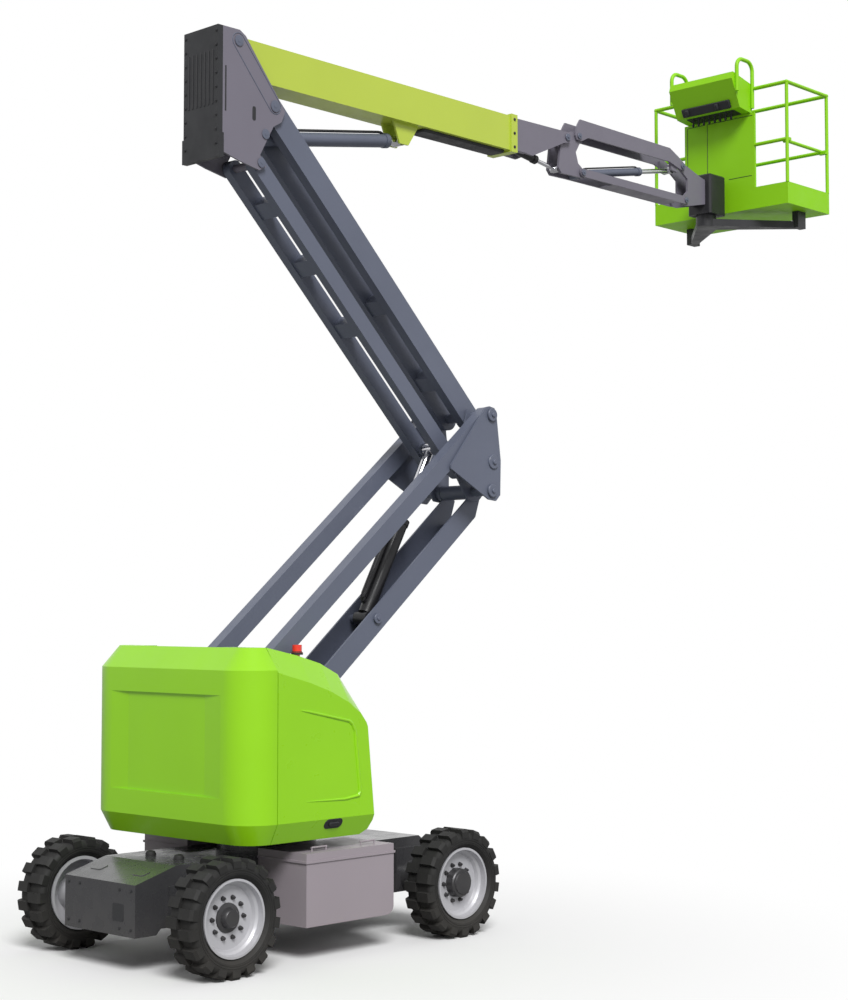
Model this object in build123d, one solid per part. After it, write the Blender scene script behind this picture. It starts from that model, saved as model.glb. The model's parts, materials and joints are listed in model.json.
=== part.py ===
from build123d import *
import math
import os

os.makedirs("parts", exist_ok=True)

# Articulating boom lift. Millimetres, +X forward along the boom, +Y left, +Z up.
# The origin is on the ground, midway between the axles.

# Running clearances
PIN_FIT = 0.4
SEAT = 0.3
SIDE_GAP = 5.0

# Wheels
WHEELBASE = 1996.0
TRACK = 1500.0
TYRE_RADIUS = 356.0
TYRE_WIDTH = 240.0
LUG_HEIGHT = 24.0
LUG_LENGTH = 62.0
LUG_COUNT = 18
RIM_FLANGE = 234.0
RIM_SEAT = 226.0
RIM_WALL = 12.0
RIM_HALF = 100.0
DISC_FACE = 30.0
DISC_THICK = 18.0
SPINDLE_RADIUS = 40.0
SPINDLE_REACH = 15.0
HUB_RADIUS = 95.0
HUB_INNER = 70.0

# Chassis
FRAME_HALF = 350.0
FRAME_REAR = -1348.0
FRAME_FRONT = 1210.0
FRAME_LOW = 225.0
FRAME_BELLY = 260.0
FRAME_TOP = 625.0
REAR_PLATE_TOP = 538.0
SLOPE_END = -1040.0
BATTERY_REAR = -380.0
BATTERY_FRONT = 385.0
BATTERY_SIDE = 800.0
BATTERY_LOW = 222.0
BATTERY_SPLIT = 612.0
BATTERY_TOP = 672.0
BATTERY_CORNER = 60.0
LID_RIM = 8.0
KINGPIN_Y = 520.0
KINGPIN_RADIUS = 25.0
YOKE_RADIUS = 50.0
YOKE_THICK = 40.0
KNUCKLE_HALF = 92.0
STEER_ARM = 130.0
STEER_ROD_RADIUS = 14.0
STEER_STROKE = 110.0
MOTOR_RADIUS = 110.0
TIE_DOWN_RADIUS = 20.0
TIE_DOWN_PLATE = 20.0
TIE_DOWN_Y = 250.0

# Slew ring and turntable
RING_RADIUS = 330.0
DECK_LOW = 790.0
DECK_THICK = 30.0
DECK_HALF = 720.0
COVER_LOW = 745.0
COVER_LOW_SHOULDER = 872.0
COVER_SHOULDER = 1805.0
COVER_TOP = 1942.0
COVER_SIDE = 800.0
COVER_BEVEL_LOW = 64.0
COVER_BEVEL_TOP = 112.0
COVER_REAR = -862.0
CORNER_RADIUS = 230.0
RECESS_LOW = 1028.0
RECESS_HIGH = 1653.0
RECESS_DEPTH = 14.0
SEAM_X = -625.0
SEAM_GAP = 6.0
POCKET_X = -745.0
POCKET_HALF = 375.0
HOOD_INNER = 405.0
HOOD_WALL = 20.0
HOOD_FRONT = 212.0
HOOD_NOSE = (150.0, 1430.0)
HOOD_TOP_LINE = ((-353.0, 1887.0), (-167.0, 1836.0), (-14.0, 1765.0), (90.0, 1640.0), (138.0, 1520.0))
HOOD_EDGE_LINE = ((-353.0, 1722.0), (-167.0, 1660.0), (-14.0, 1588.0), (90.0, 1516.0), (138.0, 1458.0))
HOOD_HINGE_Y = 404.0
HOOD_HINGE_Z = 1850.0
COWL_Y = 375.0
COWL_THICK = 10.0
BEACON_X = -95.0
BEACON_Y = 396.0
BEACON_BASE = 1885.0

# Riser pivots (side view), shared by every piece that turns on them
LINK_BASE = (-480.0, 1645.0)
LINK_TOP = (1851.0, 3589.0)
RISER_STEP = 553.0
ARM_BASE = (LINK_BASE[0], LINK_BASE[1] - RISER_STEP)
ARM_TOP = (LINK_TOP[0], LINK_TOP[1] - RISER_STEP)
UPPER_STEP = (-119.0, -400.0)
HEAD_ARM = (-107.0, 5513.0)
HEAD_LINK = (HEAD_ARM[0] + UPPER_STEP[0], HEAD_ARM[1] + UPPER_STEP[1])
KNUCKLE_LINK = (LINK_TOP[0] + UPPER_STEP[0], LINK_TOP[1] + UPPER_STEP[1])
RISER_FOOT = (897.0, 2114.0)
RISER_EYE = (1575.0, 3343.0)

# Riser sections
PIN_RADIUS = 35.0
SMALL_PIN = 28.0
LINK_DEPTH = 120.0
LINK_IN = 240.0
LINK_OUT = 330.0
TROUGH_HALF = 130.0
TROUGH_PLATE = 15.0
TROUGH_DROP = 30.0
TROUGH_DEPTH = 155.0
STAND_IN = 185.0
STAND_PLATE = 20.0
STAND_OUT = 345.0
KNUCKLE_IN = 160.0
KNUCKLE_OUT = 338.0
KNUCKLE_PLATE = 15.0
UPPER_OUT = 147.0
UPPER_ARM_IN = 72.0
UPPER_ARM_DEPTH = 168.0
UPPER_LINK_IN = 80.0
UPPER_LINK_DEPTH = 118.0
TUBE_WALL = 7.0
HEAD_IN = 157.0
HEAD_PLATE = 15.0
HEAD_REAR = -560.0
HEAD_COVER = 42.0

# Boom
BOOM_PIN = (-426.0, 5885.0)
BOOM_TOP = 5938.0
BOOM_DEPTH = 264.0
BOOM_HALF = 110.0
BOOM_WALL = 8.0
BOOM_REAR = -478.0
BOOM_END = 2420.0
BOOM_COLLAR = 14.0
COLLAR_LENGTH = 70.0
LIFT_FOOT = (-190.0, 5310.0)
LIFT_EYE = (1235.0, 5556.0)
EXT_GAP = 7.0
EXT_REAR = 950.0
PAD_LENGTH = 90.0
NOSE_REAR = 2440.0
NOSE_PIN = (3060.0, 5905.0)
NOSE_IN = 75.0
NOSE_PLATE = 18.0
LEVEL_FOOT = (2450.0, 5735.0)
LEVEL_EYE = (3020.0, 5655.0)

# Jib
JIB_LENGTH = 1400.0
JIB_UPPER = (3220.0, 5945.0)
JIB_LOWER = (3270.0, 5660.0)
JIB_IN = 45.0
JIB_PLATE = 20.0
JIB_ARM_PLATE = 15.0
JIB_EYE = (4530.0, 5905.0)
JIB_PIN = 22.0
ROTATOR_X = 5080.0
ROTATOR_RADIUS = 88.0
ROTATOR_LOW = 5560.0
ROTATOR_HIGH = 5915.0

# Platform
FLOOR_REAR = 5290.0
FLOOR_FRONT = 5950.0
FLOOR_HALF = 700.0
FLOOR_LOW = 5645.0
FLOOR_THICK = 25.0
TOE_HIGH = 5832.0
TOE_THICK = 20.0
MID_RAIL = 6205.0
TOP_RAIL = 6700.0
RAIL_RADIUS = 17.0
MID_RADIUS = 16.0
POST_RADIUS = 15.0
PANEL_HALF = 368.0
PANEL_THICK = 22.0
CONSOLE_REAR = 5005.0
CONSOLE_HALF = 330.0
CONSOLE_LOW = 6490.0
CONSOLE_HIGH = 6803.0
LOOP_HIGH = 6930.0
GATE_RADIUS = 15.0


def side_face(face, y0, y1):
    """Solid of a side-view face (x, z) between two lateral planes."""
    return extrude(Plane.XZ.offset(-y1) * face, amount=y1 - y0, dir=(0, -1, 0))


def lengthwise(face, x0, x1):
    """Solid of a cross-section face (y, z) between two planes along the machine."""
    return extrude(Plane.YZ.offset(x0) * face, amount=x1 - x0, dir=(1, 0, 0))


def plate(points, y0, y1):
    """Flat plate with a straight-sided outline in side view."""
    return side_face(Polygon(*points, align=None), y0, y1)


def pin(centre, radius, y0, y1):
    """Round pin across the machine."""
    return side_face(Pos(*centre) * Circle(radius), y0, y1)


def strap(a, b, width):
    """Side-view face with round ends about two centres."""
    angle = math.degrees(math.atan2(b[1] - a[1], b[0] - a[0]))
    middle = ((a[0] + b[0]) / 2, (a[1] + b[1]) / 2)
    return Pos(*middle) * Rot(0, 0, angle) * SlotCenterToCenter(math.dist(a, b), width)


def block(x0, x1, y0, y1, z0, z1):
    """Box between two corners."""
    box = Box(x1 - x0, y1 - y0, z1 - z0)
    return Pos((x0 + x1) / 2, (y0 + y1) / 2, (z0 + z1) / 2) * box


def both(solid):
    """A piece and its mirror image on the other side of the machine."""
    return solid + mirror(solid, about=Plane.XZ)


def rod(a, b, radius):
    """Round bar between two points in the centre plane."""
    start = Plane(origin=(a[0], 0, a[1]), z_dir=(b[0] - a[0], 0, b[1] - a[1]))
    return extrude(start * Circle(radius), amount=math.dist(a, b))


def along(a, b, distance, offset=0.0):
    """Point at a distance from a towards b, and an offset to the upper left."""
    length = math.dist(a, b)
    ux, uz = (b[0] - a[0]) / length, (b[1] - a[1]) / length
    return (a[0] + ux * distance - uz * offset, a[1] + uz * distance + ux * offset)


def box_rail(a, b, depth, y0, y1):
    """Hollow rectangular tube with round closed ends and a drain hole under the middle."""
    rail = side_face(strap(a, b, depth), y0, y1)
    hollow = strap(along(a, b, depth), along(b, a, depth), depth - 2 * TUBE_WALL)
    middle = math.dist(a, b) / 2
    drain = rod(along(a, b, middle, -depth), along(a, b, middle), TUBE_WALL)
    return rail - side_face(hollow, y0 + TUBE_WALL, y1 - TUBE_WALL) - Pos(0, (y0 + y1) / 2, 0) * drain


# Wheels


def tyre():
    """Tyre about the Y axis: round-shouldered carcass with staggered bar lugs."""
    half = TYRE_WIDTH / 2
    crown = TYRE_RADIUS - LUG_HEIGHT
    bore = RIM_SEAT + SEAT
    profile = Polyline((41 - half, bore), (half - 41, bore), (half - 34, 236), (half - 6, 262), (half - 4, 292))
    profile += ThreePointArc((half - 4, 292), (half - 14, crown - 12), (half - 34, crown))
    profile += Line((half - 34, crown), (34 - half, crown))
    profile += ThreePointArc((34 - half, crown), (14 - half, crown - 12), (4 - half, 292))
    profile += Polyline((4 - half, 292), (6 - half, 262), (34 - half, 236), (41 - half, bore))
    body = revolve(Plane.YZ * make_face(profile), axis=Axis.Y)
    top = TYRE_RADIUS
    bar = [(6, crown - 10), (6, top), (half - 16, top), (half, top - 18), (half, 298), (half - 30, 292)]
    lug = extrude(Plane.YZ * Polygon(*bar, align=None), amount=LUG_LENGTH / 2, both=True)
    other = mirror(lug, about=Plane.XZ)
    pitch = 360 / LUG_COUNT
    lugs = []
    for i in range(LUG_COUNT):
        lugs.append(Rot(0, i * pitch, 0) * lug)
        lugs.append(Rot(0, (i + 0.5) * pitch, 0) * other)
    return body + lugs


def rim(hub_profile):
    """Wheel disc and hub about the Y axis, outer face towards +Y."""
    bore = SPINDLE_RADIUS + PIN_FIT
    wall = RIM_SEAT - RIM_WALL
    inner = [(SPINDLE_REACH + SIDE_GAP, 0), (SPINDLE_REACH + SIDE_GAP, bore), (-HUB_INNER, bore)]
    inner += [(-HUB_INNER, HUB_RADIUS), (DISC_FACE - DISC_THICK, HUB_RADIUS + 20)]
    barrel = [(DISC_FACE - DISC_THICK, wall), (-RIM_HALF, wall), (-RIM_HALF, RIM_FLANGE)]
    barrel += [(12 - RIM_HALF, RIM_FLANGE), (18 - RIM_HALF, RIM_SEAT), (RIM_HALF - 18, RIM_SEAT)]
    barrel += [(RIM_HALF - 12, RIM_FLANGE), (RIM_HALF, RIM_FLANGE), (RIM_HALF, wall + 6)]
    barrel += [(DISC_FACE + 34, wall), (DISC_FACE + 22, wall - 14), (DISC_FACE, wall - 26)]
    face = Polygon(*inner, *barrel, *hub_profile, align=None)
    return revolve(Plane.YZ * face, axis=Axis.Y)


STEER_HUB = [(DISC_FACE, 88), (DISC_FACE + 8, 86), (DISC_FACE + 12, 62), (72, 54), (78, 48), (78, 0)]
DRIVE_HUB = [(DISC_FACE, 96), (82, 93), (90, 86), (90, 72), (98, 68), (98, 0)]


def wheel_place(x, side):
    """Location of a wheel whose outer face is on the given side."""
    turn = 0 if side > 0 else 180
    return Pos(x, side * TRACK / 2, TYRE_RADIUS) * Rot(0, 0, turn)


# Chassis


def chassis_frame():
    """Welded box chassis, sloped at the steered end, with tie-down lugs and the bores of the steering rods."""
    outline = [(FRAME_REAR, FRAME_LOW), (FRAME_REAR, REAR_PLATE_TOP), (SLOPE_END, FRAME_TOP)]
    outline += [(FRAME_FRONT - 120, FRAME_TOP), (FRAME_FRONT, REAR_PLATE_TOP), (FRAME_FRONT, FRAME_BELLY)]
    outline += [(FRAME_REAR + 195, FRAME_BELLY), (FRAME_REAR + 160, FRAME_LOW)]
    frame = plate(outline, -FRAME_HALF, FRAME_HALF)
    depth = STEER_STROKE + 130
    centre = (-WHEELBASE / 2 + STEER_ARM, TYRE_RADIUS - 40)
    frame -= both(pin(centre, STEER_ROD_RADIUS + PIN_FIT, FRAME_HALF - depth, FRAME_HALF + 1))
    eye = (FRAME_FRONT + 45, TIE_DOWN_Y)
    lug = strap((FRAME_FRONT, TIE_DOWN_Y), eye, 90) - Pos(*eye) * Circle(TIE_DOWN_RADIUS)
    lug = extrude(Pos(0, 0, FRAME_BELLY + 80) * lug, amount=TIE_DOWN_PLATE, dir=(0, 0, 1))
    return frame + both(lug)


def steer_yoke(side):
    """Yoke on one side of the frame, with the kingpin the knuckle turns on."""
    x = -WHEELBASE / 2
    z = TYRE_RADIUS
    pad = block(x - 105, x + 85, FRAME_HALF, FRAME_HALF + 22, FRAME_BELLY + 5, z + 150)
    arm_face = Rectangle(90, KINGPIN_Y - FRAME_HALF - 20) + Pos(0, (KINGPIN_Y - FRAME_HALF - 20) / 2) * Circle(45)
    arm_face = Pos(x, (KINGPIN_Y + FRAME_HALF + 20) / 2) * arm_face
    low = Pos(0, 0, z - KNUCKLE_HALF - 2 - YOKE_THICK) * extrude(arm_face, amount=YOKE_THICK)
    high = Pos(0, 0, z + KNUCKLE_HALF + 2) * extrude(arm_face, amount=YOKE_THICK)
    reach = KNUCKLE_HALF + 2 + YOKE_THICK
    kingpin = Pos(x, KINGPIN_Y, z) * Cylinder(KINGPIN_RADIUS, 2 * reach)
    piece = pad + low + high + kingpin
    return piece if side > 0 else mirror(piece, about=Plane.XZ)


def steer_knuckle(side):
    """Knuckle with its kingpin bore, spindle and steering arm."""
    x = -WHEELBASE / 2
    z = TYRE_RADIUS
    post = Pos(x, KINGPIN_Y, z) * Cylinder(YOKE_RADIUS, 2 * KNUCKLE_HALF)
    stub = side_face(Pos(x, z) * Circle(58), KINGPIN_Y, TRACK / 2 - HUB_INNER - SIDE_GAP)
    spindle = side_face(Pos(x, z) * Circle(SPINDLE_RADIUS), KINGPIN_Y, TRACK / 2 + SPINDLE_REACH)
    arm_face = Pos(x + STEER_ARM / 2, KINGPIN_Y) * SlotCenterToCenter(STEER_ARM, 56)
    arm = Pos(0, 0, z - KNUCKLE_HALF + 2) * extrude(arm_face, amount=26)
    bore = Pos(x, KINGPIN_Y, z) * Cylinder(KINGPIN_RADIUS + PIN_FIT, 2 * KNUCKLE_HALF + 2)
    piece = post + stub + spindle + arm - bore
    return piece if side > 0 else mirror(piece, about=Plane.XZ)


def steer_rod(side):
    """Steering cylinder rod from the frame, with its ball end over the steering arm."""
    x = -WHEELBASE / 2 + STEER_ARM
    z = TYRE_RADIUS - 40
    shaft = pin((x, z), STEER_ROD_RADIUS, FRAME_HALF - 120, KINGPIN_Y)
    eye = Pos(x, KINGPIN_Y, z) * Cylinder(26, 44)
    piece = shaft + eye
    return piece if side > 0 else mirror(piece, about=Plane.XZ)


def drive_motor(side):
    """Drive motor and gearbox on one side of the frame, with the wheel spindle."""
    x = WHEELBASE / 2
    z = TYRE_RADIUS
    pad = block(x - 150, x + 150, FRAME_HALF, FRAME_HALF + 22, FRAME_BELLY + 5, z + 200)
    motor = side_face(Pos(x, z) * Circle(MOTOR_RADIUS), FRAME_HALF + 22, TRACK / 2 - HUB_INNER - 60)
    flange = side_face(Pos(x, z) * Circle(MOTOR_RADIUS + 25), FRAME_HALF + 90, FRAME_HALF + 116)
    neck = side_face(Pos(x, z) * Circle(80), TRACK / 2 - HUB_INNER - 60, TRACK / 2 - HUB_INNER - SIDE_GAP)
    spindle = side_face(Pos(x, z) * Circle(SPINDLE_RADIUS), FRAME_HALF + 22, TRACK / 2 + SPINDLE_REACH)
    piece = pad + motor + flange + neck + spindle
    return piece if side > 0 else mirror(piece, about=Plane.XZ)


def battery_box():
    """Battery box hung on the right of the frame."""
    box = block(BATTERY_REAR, BATTERY_FRONT, -BATTERY_SIDE, -FRAME_HALF, BATTERY_LOW, BATTERY_SPLIT)
    corner = box.edges().filter_by(Axis.Y).sort_by(Axis.Z)[:2].sort_by(Axis.X)[-1:]
    return fillet(corner, BATTERY_CORNER)


def battery_lid():
    """Lid with an overhanging rim and two wire handles."""
    x0, x1 = BATTERY_REAR, BATTERY_FRONT
    lid = block(x0, x1, -BATTERY_SIDE, -FRAME_HALF, BATTERY_SPLIT, BATTERY_TOP)
    lip = block(x0 - LID_RIM, x1 + LID_RIM, -BATTERY_SIDE - LID_RIM, -FRAME_HALF, BATTERY_SPLIT, BATTERY_SPLIT + 14)
    lid += lip
    for x in (x0 + 170, x1 - 170):
        leg = Pos(x - 60, -BATTERY_SIDE + 70, BATTERY_TOP + 14) * Cylinder(5, 28)
        leg += Pos(x + 60, -BATTERY_SIDE + 70, BATTERY_TOP + 14) * Cylinder(5, 28)
        bar = Pos(x, -BATTERY_SIDE + 70, BATTERY_TOP + 24) * Rot(0, 90, 0) * Cylinder(6, 132)
        lid += leg + bar
    return lid


def slew_ring():
    """Slew bearing between the frame and the turntable deck."""
    height = DECK_LOW - FRAME_TOP
    ring = Pos(0, 0, FRAME_TOP + height / 2) * Cylinder(RING_RADIUS, height)
    return ring - Pos(0, 0, FRAME_TOP + height / 2) * Cylinder(RING_RADIUS - 90, height)


# Turntable


def cover_plan(z, inset):
    """Plan of the counterweight at a height, set in from its belt, with round rear corners."""
    side = COVER_SIDE - inset
    rear = COVER_REAR + inset
    face = Polygon((rear, -side), (SEAM_X, -side), (SEAM_X, side), (rear, side), align=None)
    face = fillet(face.vertices().group_by(Axis.X)[0], CORNER_RADIUS - inset)
    return Pos(0, 0, z) * face


def counterweight():
    """Cast counterweight that makes the rear of the covers, with a pocket for the folded riser."""
    plans = [cover_plan(COVER_LOW, COVER_BEVEL_LOW), cover_plan(COVER_LOW_SHOULDER, 0)]
    plans += [cover_plan(COVER_SHOULDER, 0), cover_plan(COVER_TOP, COVER_BEVEL_TOP)]
    mass = loft(plans, ruled=True)
    floor, x = COVER_REAR + RECESS_DEPTH, COVER_REAR - 5
    recess = Polygon((x, -600), (floor, -380), (floor, 380), (x, 600), align=None)
    mass -= Pos(0, 0, RECESS_LOW) * extrude(recess, amount=RECESS_HIGH - RECESS_LOW, dir=(0, 0, 1))
    pocket_low = DECK_LOW + DECK_THICK
    return mass - block(POCKET_X, SEAM_X + 1, -POCKET_HALF, POCKET_HALF, pocket_low, COVER_TOP + 1)


def hood_face(y, rear_top, line, inset):
    """Side view of a hood under a falling line, standing at one lateral plane."""
    x = HOOD_FRONT - inset
    rear = SEAM_X + SEAM_GAP
    pts = [(rear, COVER_LOW), (x - 75, COVER_LOW), (x - 18, COVER_LOW + 32), (x, COVER_LOW + 90)]
    pts += [(HOOD_NOSE[0] - inset, HOOD_NOSE[1])]
    pts += [(px - inset, pz - inset) for px, pz in reversed(line)]
    pts += [(rear, rear_top - inset)]
    return Plane.XZ.offset(-y) * Polygon(*pts, align=None)


def hood_body(inset):
    """Solid within a hood, set in by a wall: level across, bevelled to the side, drawn in at the foot."""
    side = COVER_SIDE - inset
    ridge = COVER_SIDE - COVER_BEVEL_TOP - inset / 2
    crown = hood_face(ridge, COVER_TOP, HOOD_TOP_LINE, inset)
    body = extrude(crown, amount=ridge - HOOD_INNER, dir=(0, -1, 0))
    body += loft([crown, hood_face(side, COVER_SHOULDER - 15, HOOD_EDGE_LINE, inset)], ruled=True)
    foot = [(0, COVER_LOW), (side - COVER_BEVEL_LOW, COVER_LOW), (side, COVER_LOW_SHOULDER)]
    foot += [(side, COVER_TOP + 50), (0, COVER_TOP + 50)]
    return body & lengthwise(Polygon(*foot, align=None), SEAM_X - 50, HOOD_FRONT + 50)


def hood(side):
    """Hinged side hood: a shell open below, behind and towards the riser."""
    shell = hood_body(0) - hood_body(HOOD_WALL)
    for x, rise in ((SEAM_X + 40, 62.0), (SEAM_X + 110, 50.0)):
        arm = Circle(15) + Pos(13, rise / 2) * Rectangle(26, rise) - Circle(8 + PIN_FIT)
        shell += lengthwise(Pos(HOOD_HINGE_Y, HOOD_HINGE_Z) * arm, x, x + 40)
    return shell if side > 0 else mirror(shell, about=Plane.XZ)


def turntable_frame():
    """Deck, riser stands with their pins, and the cowl walls that carry the hood hinges."""
    top = DECK_LOW + DECK_THICK
    wide_end = HOOD_FRONT - HOOD_WALL - 85
    deck = block(SEAM_X, wide_end, -DECK_HALF, DECK_HALF, DECK_LOW, top)
    deck += block(wide_end - 20, 370, -POCKET_HALF, POCKET_HALF, DECK_LOW, top)
    x, z = LINK_BASE
    stand = [(x - 150, top), (x - 110, z), (x - 60, z + 75), (x + 60, z + 75), (x + 110, z), (x + 330, top)]
    for y0 in (STAND_IN, STAND_OUT):
        deck += both(plate(stand, y0, y0 + STAND_PLATE))
    deck += both(pin(LINK_BASE, PIN_RADIUS, STAND_IN, STAND_OUT + STAND_PLATE))
    deck += pin(ARM_BASE, PIN_RADIUS, -STAND_IN, STAND_IN)
    cowl = [(SEAM_X, top), (SEAM_X, HOOD_HINGE_Z - 5), (SEAM_X + 190, HOOD_HINGE_Z - 5), (-167, 1770)]
    cowl += [(-14, 1690), (wide_end - 25, 1480), (wide_end - 15, top)]
    deck += both(plate(cowl, COWL_Y, COWL_Y + COWL_THICK))
    hinge = lengthwise(Pos(HOOD_HINGE_Y, HOOD_HINGE_Z) * Circle(8), SEAM_X, SEAM_X + 180)
    lug = block(SEAM_X + 15, SEAM_X + 35, COWL_Y, HOOD_HINGE_Y + 12, HOOD_HINGE_Z - 12, HOOD_HINGE_Z + 12)
    lug += Pos(140, 0, 0) * lug
    return deck + both(hinge + lug)


def power_pack():
    """Pump and motor unit under the right hood."""
    top = DECK_LOW + DECK_THICK
    return block(-500, 20, -700, -420, top, top + 480)


def hydraulic_tank():
    """Oil tank under the left hood."""
    top = DECK_LOW + DECK_THICK
    return block(-500, 20, 420, 700, top, top + 620)


def beacon():
    """Warning beacon on a bracket inside the right cowl wall."""
    x = BEACON_X
    z = BEACON_BASE
    bracket = block(x - 25, x + 25, -COWL_Y, -COWL_Y + 10, z - 260, z)
    bracket += block(x - 25, x + 25, -BEACON_Y, -COWL_Y + 10, z - 12, z)
    base = Pos(x, -BEACON_Y, z + 8) * Cylinder(38, 16)
    lens = Pos(x, -BEACON_Y, z + 40) * Cylinder(31, 48)
    return bracket + base + lens


# Riser


def lower_link(side):
    """One of the two outer link tubes of the lower riser."""
    tube = box_rail(LINK_BASE, LINK_TOP, LINK_DEPTH, LINK_IN, LINK_OUT)
    tube -= pin(LINK_BASE, PIN_RADIUS + PIN_FIT, LINK_IN - 1, LINK_OUT + 1)
    tube -= pin(LINK_TOP, PIN_RADIUS + PIN_FIT, LINK_IN - 1, LINK_OUT + 1)
    return tube if side > 0 else mirror(tube, about=Plane.XZ)


def lower_arm():
    """Open-topped trough of the lower riser, with the foot pin of the riser cylinder."""
    a, b = ARM_BASE, ARM_TOP
    length = math.dist(a, b)
    low = -TROUGH_DROP - TROUGH_DEPTH
    corners = [(-55, -TROUGH_DROP), (-20, low), (length - 60, low), (length + 55, low + 70), (length + 55, -TROUGH_DROP)]
    outline = Polygon(*[along(a, b, s, t) for s, t in corners], align=None)
    for centre in (a, b):
        outline += Pos(*centre) * Circle(PIN_RADIUS + 24)
    wall = side_face(outline, TROUGH_HALF - TROUGH_PLATE, TROUGH_HALF)
    floor_pts = [(60, low), (60, low + 12), (length - 150, low + 12), (length - 150, low)]
    floor_plate = plate([along(a, b, s, t) for s, t in floor_pts], -TROUGH_HALF, TROUGH_HALF)
    arm = both(wall) + floor_plate
    arm += pin(a, PIN_RADIUS + 18, -STAND_IN + SIDE_GAP, STAND_IN - SIDE_GAP)
    arm += pin(b, PIN_RADIUS + 18, -KNUCKLE_IN + SIDE_GAP, KNUCKLE_IN - SIDE_GAP)
    for centre in (a, b):
        arm -= pin(centre, PIN_RADIUS + PIN_FIT, -STAND_IN, STAND_IN)
    return arm + pin(RISER_FOOT, SMALL_PIN, -TROUGH_HALF - 12, TROUGH_HALF + 12)


def barrel(foot, eye, foot_pin, radius, length, eye_half, rod_radius):
    """Cylinder barrel with a bored foot eye and an open bore for its rod."""
    body = rod(along(foot, eye, foot_pin + 12), along(foot, eye, length), radius)
    body += rod(along(foot, eye, length - 40), along(foot, eye, length), radius + 5)
    body += pin(foot, foot_pin + 20, -eye_half, eye_half)
    body -= pin(foot, foot_pin + PIN_FIT, -eye_half - 1, eye_half + 1)
    return body - rod(along(foot, eye, foot_pin + 45), along(foot, eye, length + 1), rod_radius + PIN_FIT)


def cylinder_rod(foot, eye, foot_pin, rod_radius, eye_radius, eye_half, retract):
    """Piston rod from inside its barrel to the eye, drawn out far enough to retract by its stroke."""
    shaft = rod(along(foot, eye, foot_pin + 55 + retract), eye, rod_radius)
    return shaft + pin(eye, eye_radius, -eye_half, eye_half)


def knuckle_frame():
    """Level knuckle between the two risers: outer and inner plates on common pins."""
    x, z = LINK_TOP
    outer = [(x - 430, z - 390), (x - 61, z + 52), (x - 20, z + 62), (x + 35, z + 52), (x + 58, z)]
    outer += [(x + 103, z - 328), (x + 97, z - 580), (x + 52, z - 624), (x - 26, z - 617), (x - 430, z - 414)]
    inner = [(x - 60, z + 50), (x + 35, z + 52), (x + 58, z), (x + 103, z - 328), (x + 97, z - 580)]
    inner += [(x + 52, z - 624), (x - 60, z - 612), (x - 190, z - 430), (x - 160, z - 330)]
    frame = both(plate(outer, KNUCKLE_OUT, KNUCKLE_OUT + KNUCKLE_PLATE))
    frame += both(plate(inner, KNUCKLE_IN, KNUCKLE_IN + KNUCKLE_PLATE))
    reach = KNUCKLE_OUT + KNUCKLE_PLATE + 8
    frame += pin(LINK_TOP, PIN_RADIUS, -reach, reach)
    frame += pin(ARM_TOP, PIN_RADIUS, -reach, reach)
    frame += pin(KNUCKLE_LINK, SMALL_PIN, -KNUCKLE_IN - KNUCKLE_PLATE, KNUCKLE_IN + KNUCKLE_PLATE)
    tie = pin((x + 18, z - 342), 45, KNUCKLE_IN, KNUCKLE_OUT + KNUCKLE_PLATE)
    return frame + both(tie)


def riser_rail_pair(a, b, depth, y0, y1, pin_a, pin_b, ties):
    """Two hollow rails side by side, bored at both ends and joined by cross-members."""
    pair = both(box_rail(a, b, depth, y0, y1))
    length = math.dist(a, b)
    for share in ties:
        centre = length * share
        corners = [(centre - 60, -depth / 2 + 12), (centre + 60, -depth / 2 + 12)]
        corners += [(centre + 60, depth / 2 - 12), (centre - 60, depth / 2 - 12)]
        pair += plate([along(a, b, s, t) for s, t in corners], -y0, y0)
    pair -= pin(a, pin_a + PIN_FIT, -y1 - 1, y1 + 1)
    return pair - pin(b, pin_b + PIN_FIT, -y1 - 1, y1 + 1)


def upper_arm():
    """Main rails of the upper riser."""
    ties = (0.14, 0.40)
    return riser_rail_pair(
        LINK_TOP, HEAD_ARM, UPPER_ARM_DEPTH, UPPER_ARM_IN, UPPER_OUT, PIN_RADIUS, PIN_RADIUS, ties
    )


def upper_link():
    """Levelling rails of the upper riser, with the lugs that take the riser cylinder."""
    ties = (0.50, 0.70, 0.88)
    link = riser_rail_pair(
        KNUCKLE_LINK, HEAD_LINK, UPPER_LINK_DEPTH, UPPER_LINK_IN, UPPER_OUT, SMALL_PIN, SMALL_PIN, ties
    )
    lug = side_face(Pos(*RISER_EYE) * Circle(46), 50, UPPER_LINK_IN)
    return link + both(lug)


def head_outline():
    """Side view of the head plates: boom ear, falling front edge, arm lobe and link lobe."""
    bx, bz = BOOM_PIN
    ax, az = HEAD_ARM
    lx, lz = HEAD_LINK
    pts = [(HEAD_REAR, lz + 20), (HEAD_REAR, bz + 73), (bx + 10, bz + 75), (bx + 62, bz + 45), (ax + 92, az - 18)]
    pts += [(ax + 62, az - 95), (ax - 12, az - 140), (lx - 10, lz + 50), (lx + 45, lz - 20), (lx - 15, lz - 52)]
    pts += [(lx - 190, lz - 18)]
    return Polygon(*pts, align=None)


def head_frame():
    """Head at the top of the upper riser: two side plates on the pivot pins."""
    sides = both(side_face(head_outline(), HEAD_IN, HEAD_IN + HEAD_PLATE))
    reach = HEAD_IN + HEAD_PLATE
    sides += pin(BOOM_PIN, 30, -reach - 6, reach + 6)
    sides += both(pin(HEAD_ARM, PIN_RADIUS, UPPER_ARM_IN - 6, reach + 6))
    sides += pin(HEAD_LINK, SMALL_PIN, -reach - 6, reach + 6)
    sides += pin(LIFT_FOOT, 30, -reach - 6, reach + 6)
    return sides


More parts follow.
